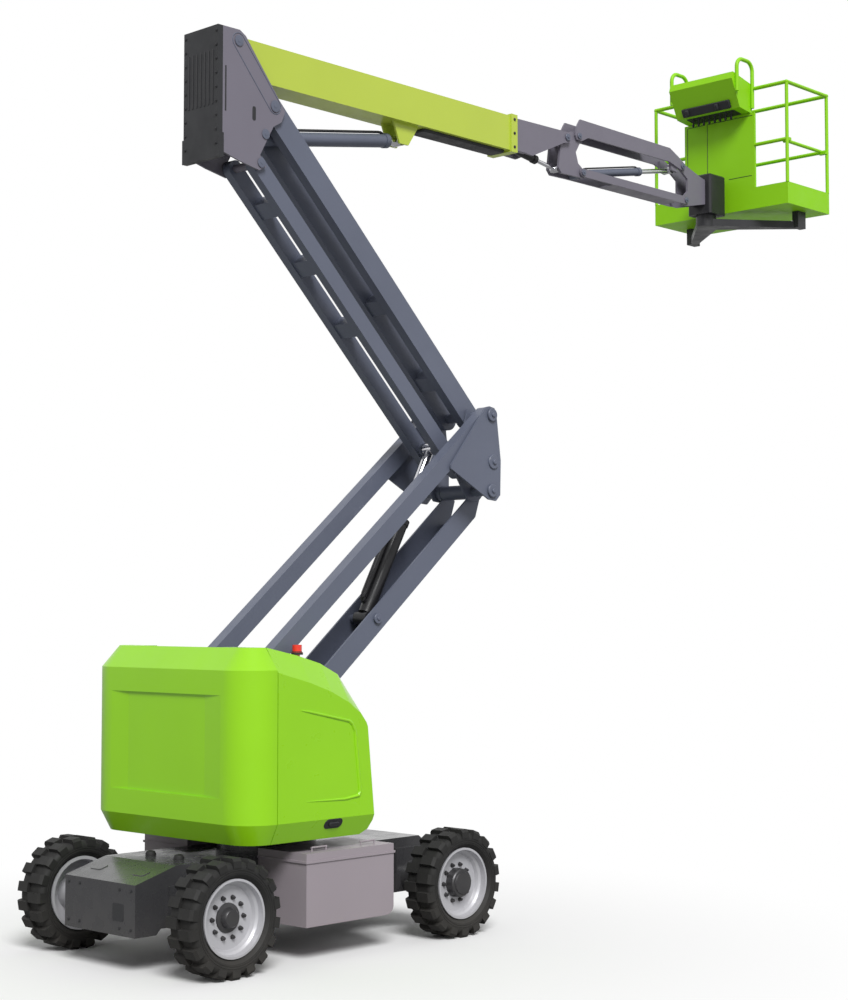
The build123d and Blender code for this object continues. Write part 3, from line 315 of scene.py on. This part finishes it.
# %% Wheels
SIDES = (("right", -1), ("left", 1))
WHEEL_X, WHEEL_Y, WHEEL_Z = 0.998, 0.75, 0.356
NUT_COUNT, NUT_CIRCLE = 10, 0.122
RIB_RADIUS = 0.0026
RIBS = ((0.272, 0.1150), (0.286, 0.1160))
REAR_HUB = [
    (0.0892, 0.028), (0.0892, 0.031), (0.0868, 0.039), (0.063, 0.043), (0.055, 0.072), (0.0488, 0.0788), (0, 0.0788),
]
FRONT_HUB = [(0.0972, 0.028), (0.0936, 0.0828), (0.0868, 0.0908), (0.073, 0.0908), (0.0688, 0.0988), (0, 0.0988)]
NUT = [
    (0.0165, 0.029), (0.0165, 0.032), (0.0125, 0.0325), (0.0125, 0.046), (0.0105, 0.049), (0.006, 0.0495),
    (0.006, 0.056), (0, 0.057),
]
nut_turn = np.arange(NUT_COUNT) * 2 * np.pi / NUT_COUNT
rib_turn = np.linspace(0, 2 * np.pi, 97)
for end, x, hub in (("rear", -WHEEL_X, REAR_HUB), ("front", WHEEL_X, FRONT_HUB)):
    for side_name, s in SIDES:
        wheel = "_%s_%s" % (end, side_name)
        centre = np.array([x, s * WHEEL_Y, WHEEL_Z])
        spots = centre + NUT_CIRCLE * np.stack([np.cos(nut_turn), 0 * nut_turn, np.sin(nut_turn)], 1)
        nuts = [turned(NUT, spot, (0, s, 0), 6) for spot in spots]
        nuts += [turned(hub, centre, (0, s, 0), 40)]
        put("wheel_nuts" + wheel, nuts, DARK_STEEL, "wheel" + wheel)
        ribs = []
        for radius, out in RIBS:
            for way in (1, -1):
                wall = np.full_like(rib_turn, way * out)
                ring = np.stack([radius * np.cos(rib_turn), wall, radius * np.sin(rib_turn)], 1)
                ribs.append(bar(centre + ring, RIB_RADIUS, 6))
        put("tyre_ribs" + wheel, ribs, SKIN["tyre"], "wheel" + wheel)

# %% [markdown]
# ## Covers
# The hoods are pressed with a raised crease that fades out towards the back, and open by a dark latch in the lower
# bevel. The crease is a bar half sunk in the panel, whose radius falls to nothing at its ends.


# %% Covers
def crease(points, radius, steps=14):
    """Straight runs between points, with the radius r sin(pi s)^0.4 along the whole line."""
    p = np.asarray(points, float)
    s = np.linspace(0, 1, steps)[:, None]
    line = np.concatenate([a + (b - a) * s for a, b in zip(p[:-1], p[1:])])
    keep = np.r_[True, np.linalg.norm(np.diff(line, axis=0), axis=1) > 1e-6]
    line = line[keep]
    run = np.linspace(0, 1, len(line))
    return bar(line, radius * np.maximum(np.sin(np.pi * run), 1e-4) ** 0.4, 10)


HOOD_FACE_Y = 0.799
CREASE_RADIUS = 0.012
CREASE_LINE = (
    (-0.44, 1.556), (-0.360, 1.543), (-0.019, 1.474), (0.010, 1.452), (0.034, 1.409), (0.080, 1.020),
    (0.068, 1.000), (-0.053, 0.986), (-0.40, 0.992),
)
LATCH_X, LATCH_Y, LATCH_Z = -0.139, 0.783, 0.839
LATCH_TRAY = 0.004
for side_name, s in SIDES:
    hood = "hood_" + side_name
    line = [(x, s * HOOD_FACE_Y, z) for x, z in CREASE_LINE]
    put("hood_crease_" + side_name, [crease(line, CREASE_RADIUS)], SKIN["cover_green"], hood)
    out = np.array([0, s * 0.890, -0.456])
    centre = np.array([LATCH_X, s * LATCH_Y, LATCH_Z])
    tray = plate(pill(0.155, 0.070, 0.034), centre, (1, 0, 0), out, LATCH_TRAY, 0.002)
    grip = plate(pill(0.085, 0.030, 0.014), centre + LATCH_TRAY * out, (1, 0, 0), out, 0.010, 0.004)
    put("hood_latch_" + side_name, [tray, grip], SKIN["black_plastic"], hood)
LAMP_FOOT = [
    (0.0386, 1.8846), (0.0386, 1.8995), (0.036, 1.9012), (0.0325, 1.9016), (0.0325, 1.906), (0.0312, 1.907),
]
lamp = turned(LAMP_FOOT, (-0.095, -0.396, 0), (0, 0, 1), 32)
put("beacon_base", [lamp], SKIN["black_plastic"], "turntable")

# %% [markdown]
# ## Pivot caps
# Every pivot pin ends in a keeper plate with one bolt. They differ only in size, so one turned profile is scaled.
# The head's are flat, because the folded head drops between the riser's stands.

# %% Pivot caps
CAP = np.array([
    (1.18, -0.002), (1.18, 0.006), (1.10, 0.009), (0.42, 0.009), (0.42, 0.0095), (0.40, 0.017), (0.33, 0.019),
    (0.0, 0.019),
])
CAP_RADIUS = 0.034
HEAD_CAP_FLAT = 0.2
# Each pin is its place x and z, the y of its end, and its radius.
PINS = {
    "knuckle": ((1.851, 3.589, 0.361, 0.040), (1.851, 3.036, 0.361, 0.040), (1.869, 3.247, 0.353, 0.044)),
    "lower_arm": ((0.897, 2.114, 0.142, 0.030),),
    "head": (
        (-0.426, 5.885, 0.178, 0.030), (-0.107, 5.513, 0.178, 0.034),
        (-0.226, 5.113, 0.178, 0.028), (-0.190, 5.310, 0.178, 0.028),
    ),
    "extension": ((3.060, 5.905, 0.099, 0.024),),
    "jib_base": ((3.220, 5.945, 0.091, 0.021), (3.270, 5.660, 0.091, 0.021)),
    "jib_end": ((4.620, 5.945, 0.091, 0.021), (4.670, 5.660, 0.091, 0.021)),
}
for body, pins in PINS.items():
    flat = HEAD_CAP_FLAT if body == "head" else 1.0
    caps = []
    for x, z, y, r in pins:
        scaled = CAP * (r, flat * r / CAP_RADIUS)
        caps += [turned(scaled, (x, s * y, z), (0, s, 0), 28) for side_name, s in SIDES]
    put("pivot_caps_" + body, caps, SKIN["arm_grey"], body)

# %% [markdown]
# ## Head and boom
# The head's side plates carry a welded strap round the pins, and its black rear cover has upright vents. The boom's
# collar is bolted, and a cable tray hangs under its front half.


# %% Head and boom
def strap_line(a, b, radius, y, count=24):
    """Half circles about a and b joined by straight runs, in the plane at y."""
    a, b = np.array(a, float), np.array(b, float)
    turn = math.atan2(b[1] - a[1], b[0] - a[0])
    t = np.linspace(-np.pi / 2, np.pi / 2, count) + turn
    far = b + radius * np.stack([np.cos(t), np.sin(t)], 1)
    near = a - radius * np.stack([np.cos(t), np.sin(t)], 1)
    loop = np.concatenate([far, near, far[:1]])
    return np.stack([loop[:, 0], np.full(len(loop), y), loop[:, 1]], 1)


HEAD_PLATE_Y = 0.172
BOOM_PIVOT, ARM_PIVOT = (-0.426, 5.885), (-0.107, 5.513)
COVER_BACK = -0.602
COLLAR_X, COLLAR_SIDE, COLLAR_TOP = 2.385, 0.124, 5.952
SLOT_THICK, SLOT_BEVEL = 0.0015, 0.0007
straps = []
for side_name, s in SIDES:
    straps.append(bar(strap_line(BOOM_PIVOT, ARM_PIVOT, 0.052, s * HEAD_PLATE_Y), 0.0035, 8))
put("head_straps", straps, SKIN["arm_grey"], "head")
slots = []
for outline, x, z in ((pill(0.030, 0.095, 0.014), -0.290, 5.430), (pill(0.012, 0.30, 0.005), -0.535, 5.55)):
    for side_name, s in SIDES:
        slots.append(plate(outline, (x, s * HEAD_PLATE_Y, z), (1, 0, 0), (0, s, 0), SLOT_THICK, SLOT_BEVEL))
put("head_slots", slots, SKIN["black_plastic"], "head")
vents = [
    plate(pill(0.012, 0.36, 0.005), (COVER_BACK, y, 5.62), (0, 1, 0), (-1, 0, 0), 0.004, 0.0015)
    for y in np.linspace(-0.12, 0.12, 7)
]
vents += [
    turned(CAP * (0.009, 0.5), (COVER_BACK, y, z), (-1, 0, 0), 10)
    for y in (-0.155, 0.155) for z in np.linspace(5.18, 5.92, 9)
]
put("cover_vents", vents, SKIN["black_paint"], "head")
collar_bolt = CAP * (0.010, 0.55)
collar = [
    turned(collar_bolt, (COLLAR_X, s * COLLAR_SIDE, z), (0, s, 0), 12)
    for side_name, s in SIDES for z in (5.70, 5.806, 5.912)
]
collar += [turned(collar_bolt, (COLLAR_X, y, COLLAR_TOP), (0, 0, 1), 12) for y in (-0.09, 0.09)]
put("collar_bolts", collar, DARK_STEEL, "boom")
tray = plate(pill(0.90, 0.15, 0.02), (1.88, 0, 5.674), (1, 0, 0), (0, 0, -1), 0.022, 0.008)
put("boom_tray", [tray], SKIN["black_plastic"], "boom")

# %% [markdown]
# ## Cylinder pipes
# Oil reaches the far end of each barrel through a pipe along its back. The pipe is a bar that runs straight beside
# the barrel and bends in to it at both ends.


# %% Cylinder pipes
def pipe_along(foot, eye, offset, start, end, radius):
    """Straight run beside a cylinder: foot + s d + offset q, bent in to the barrel at both ends."""
    d = unit((eye[0] - foot[0], 0, eye[1] - foot[1]))
    q = np.array([-d[2], 0, d[0]])
    s = np.array([start, start + 0.005, start + 0.02, start + 0.05, end - 0.05, end - 0.02, end - 0.005, end])
    w = np.array([0.55, 0.8, 0.95, 1, 1, 0.95, 0.8, 0.55])
    origin = np.array([foot[0], 0, foot[1]])
    return bar(origin + s[:, None] * d + (offset * w)[:, None] * q, radius, 12)


# Each pipe is its cylinder's foot and eye, its distance from the axis, where it starts and ends, and its radius.
PIPES = {
    "lift": ((-0.190, 5.310), (1.235, 5.556), 0.062, 0.12, 1.30, 0.010),
    "riser": ((0.897, 2.114), (1.575, 3.343), 0.080, 0.11, 0.78, 0.022),
    "jib": ((3.270, 5.660), (4.530, 5.905), 0.042, 0.10, 0.84, 0.007),
}
for name, sizes in PIPES.items():
    put(name + "_pipe", [pipe_along(*sizes)], SKIN["black_paint"], name + "_barrel")

# %% [markdown]
# ## Chassis fittings
# The rear plate has a square service opening, the slope two bolted hatches and the flat top two rubber stops.

# %% Chassis fittings
REAR_PLATE = -1.348
SLOPE_OUT = (-0.272, 0, 0.962)
CHASSIS_TOP = 0.625
STOP = [(0.034, -0.002), (0.034, 0.012), (0.028, 0.026), (0.014, 0.032), (0, 0.033)]
opening = [plate(pill(0.105, 0.105, 0.008), (REAR_PLATE, -0.185, 0.365), (0, 1, 0), (-1, 0, 0), 0.003, 0.0015)]
opening += [
    turned(CAP * (0.008, 0.45), (REAR_PLATE, y, z), (-1, 0, 0), 10)
    for y in (-0.31, -0.2, 0.2, 0.31) for z in (0.27, 0.50)
]
put("rear_opening", opening, SKIN["black_plastic"], "chassis")
hatches = [
    plate(pill(0.11, 0.075, 0.02), (-1.195, y, 0.5812), (0, 1, 0), SLOPE_OUT, 0.004, 0.002) for y in (-0.21, 0.21)
]
put("slope_hatches", hatches, SKIN["chassis_paint"], "chassis")
stops = [turned(STOP, (-0.848, y, CHASSIS_TOP), (0, 0, 1), 20) for y in (-0.14, 0.14)]
put("rubber_stops", stops, SKIN["tyre"], "chassis")

# %% [markdown]
# ## Platform fittings
# The console carries a dark control panel with levers, and the panel below it shows the seams of its two doors.
# A black cover hides the platform's turning gear.

# %% Platform fittings
FACE_OUT = unit((-0.233, 0, -0.120))
UNDER_OUT = unit((-0.110, 0, -0.994))
FACE_X, FACE_Z = 5.103, 6.5527
DOOR_X, DOOR_LOW, DOOR_HIGH = 5.2905, 5.94, 6.468
SEAM_RADIUS = 0.003
LEVER = [
    (0.016, 0.002), (0.014, 0.010), (0.006, 0.014), (0.006, 0.040), (0.011, 0.044), (0.011, 0.058), (0.006, 0.064),
    (0, 0.065),
]
panel = [plate(pill(0.50, 0.075, 0.012), (FACE_X, 0, FACE_Z), (0, 1, 0), FACE_OUT, 0.022, 0.006)]
panel += [plate(pill(0.50, 0.13, 0.012), (5.212, 0, 6.5003), (0, 1, 0), UNDER_OUT, 0.004, 0.002)]
panel += [
    plate(pill(0.035, 0.055, 0.012), (FACE_X, y, FACE_Z), (0, 1, 0), FACE_OUT, 0.040, 0.008) for y in (-0.12, 0.19)
]
panel += [turned(LEVER, (5.19, y, 6.5027), UNDER_OUT, 14) for y in np.linspace(-0.20, 0.20, 8)]
put("control_panel", panel, SKIN["black_plastic"], "platform")
SEAMS = (
    ((0.338, DOOR_LOW), (0.338, DOOR_HIGH)), ((0.125, DOOR_LOW), (0.125, DOOR_HIGH)),
    ((0.338, DOOR_HIGH), (0.150, DOOR_HIGH)), ((0.125, DOOR_HIGH), (-0.350, DOOR_HIGH)),
    ((-0.10, DOOR_LOW), (-0.335, DOOR_LOW)),
)
seams = []
for (ya, za), (yb, zb) in SEAMS:
    middle = (DOOR_X, (ya + yb) / 2, (za + zb) / 2)
    seams.append(bar([(DOOR_X, ya, za), middle, (DOOR_X, yb, zb)], SEAM_RADIUS, 8))
put("panel_seams", seams, SKIN["black_plastic"], "platform")
cover = plate(pill(0.235, 0.24, 0.025), (5.092, 0, 5.600), (1, 0, 0), (0, 0, 1), 0.345, 0.012)
put("rotator_cover", [cover], SKIN["black_paint"], "jib_end")

# %% [markdown]
# ## Light
# A white studio: an even world and one broad sun from behind the machine's right side. The world lights the machine
# softly, but it is plain white to the camera and in reflections, so that the background stays white.

# %% Light
WORLD_LIGHT, WORLD_SEEN = 0.36, 1.0
SUN_STRENGTH, SUN_WIDTH = 3.0, 24
SUN_TILT, SUN_TURN = 47, -34
world = bpy.data.worlds.new("studio")
bpy.context.scene.world = world
world.use_nodes = True
wn, wl = world.node_tree.nodes, world.node_tree.links.new
rays = wn.new("ShaderNodeLightPath")
seen = wn.new("ShaderNodeMath")
seen.operation = "MAXIMUM"
wl(rays.outputs["Is Camera Ray"], seen.inputs[0])
wl(rays.outputs["Is Transmission Ray"], seen.inputs[1])
shown = wn.new("ShaderNodeMath")
shown.operation = "MAXIMUM"
wl(seen.outputs[0], shown.inputs[0])
wl(rays.outputs["Is Glossy Ray"], shown.inputs[1])
level = wn.new("ShaderNodeMapRange")
wl(shown.outputs[0], level.inputs["Value"])
level.inputs["To Min"].default_value = WORLD_LIGHT
level.inputs["To Max"].default_value = WORLD_SEEN
wn["Background"].inputs["Color"].default_value = (1, 1, 1, 1)
wl(level.outputs[0], wn["Background"].inputs["Strength"])
sun = bpy.data.objects.new("key", bpy.data.lights.new("key", "SUN"))
sun.data.energy = SUN_STRENGTH
sun.data.angle = math.radians(SUN_WIDTH)
sun.rotation_euler = (math.radians(SUN_TILT), 0, math.radians(SUN_TURN))
bpy.context.collection.objects.link(sun)
print("world", WORLD_LIGHT, "sun", SUN_STRENGTH)

# %% [markdown]
# ## Floor
# A pale floor catches the shadow and fades into the white background away from the machine. It is a flat disc, and
# its fade is a mix of plain paint and white light by the distance from the middle.

# %% Floor
FLOOR_RADIUS, FLOOR_SIDES = 60.0, 64
FLOOR_BOUNCE, FLOOR_PALE = 0.35, 0.88
FADE_START, FADE_END = 1.2, 4.5
angle = np.arange(FLOOR_SIDES) * 2 * np.pi / FLOOR_SIDES
rings = np.array([0.0, FLOOR_RADIUS])[:, None, None]
disc = rings * np.stack([np.cos(angle), np.sin(angle), 0 * angle], 1)
floor_mesh = bpy.data.meshes.new("floor")
floor_mesh.from_pydata(disc.reshape(-1, 3).tolist(), [], quads(2, FLOOR_SIDES)[:, ::-1].tolist())
floor = bpy.data.objects.new("floor", floor_mesh)
bpy.context.collection.objects.link(floor)
fm = bpy.data.materials.new("floor")
fm.use_nodes = True
fn, fl = fm.node_tree.nodes, fm.node_tree.links.new
paint = fn["Principled BSDF"]
paint.inputs["Roughness"].default_value = 0.9
white = fn.new("ShaderNodeEmission")
blend = fn.new("ShaderNodeMixShader")
ray = fn.new("ShaderNodeLightPath")
pale = fn.new("ShaderNodeMapRange")
pale.inputs["To Min"].default_value = FLOOR_BOUNCE
pale.inputs["To Max"].default_value = FLOOR_PALE
fl(ray.outputs["Is Camera Ray"], pale.inputs["Value"])
fl(pale.outputs[0], paint.inputs["Base Color"])
where = fn.new("ShaderNodeTexCoord")
far = fn.new("ShaderNodeVectorMath")
far.operation = "LENGTH"
fl(where.outputs["Object"], far.inputs[0])
fade = fn.new("ShaderNodeMapRange")
fade.interpolation_type = "SMOOTHSTEP"
fl(far.outputs["Value"], fade.inputs["Value"])
fade.inputs["From Min"].default_value = FADE_START
fade.inputs["From Max"].default_value = FADE_END
both = fn.new("ShaderNodeMath")
both.operation = "MULTIPLY"
fl(ray.outputs["Is Camera Ray"], both.inputs[0])
fl(fade.outputs[0], both.inputs[1])
fl(both.outputs[0], blend.inputs[0])
fl(paint.outputs[0], blend.inputs[1])
fl(white.outputs[0], blend.inputs[2])
fl(blend.outputs[0], fn["Material Output"].inputs["Surface"])
floor_mesh.materials.append(fm)
print("floor", len(floor_mesh.polygons), "faces")

# %% [markdown]
# ## Camera
# The camera stands where the photograph was taken from, low behind the right rear wheel, with a long lens.

# %% Camera
cam = bpy.data.objects.new("camera", bpy.data.cameras.new("camera"))
cam.location = (-8.3163, -9.3357, 2.1745)
cam.rotation_euler = (math.radians(93.355), 0, math.radians(-46.471))
cam.data.lens = 67.4
cam.data.clip_end = 200
bpy.context.collection.objects.link(cam)
bpy.context.scene.camera = cam
bpy.context.scene.view_settings.view_transform = "Standard"
print("lens", cam.data.lens)
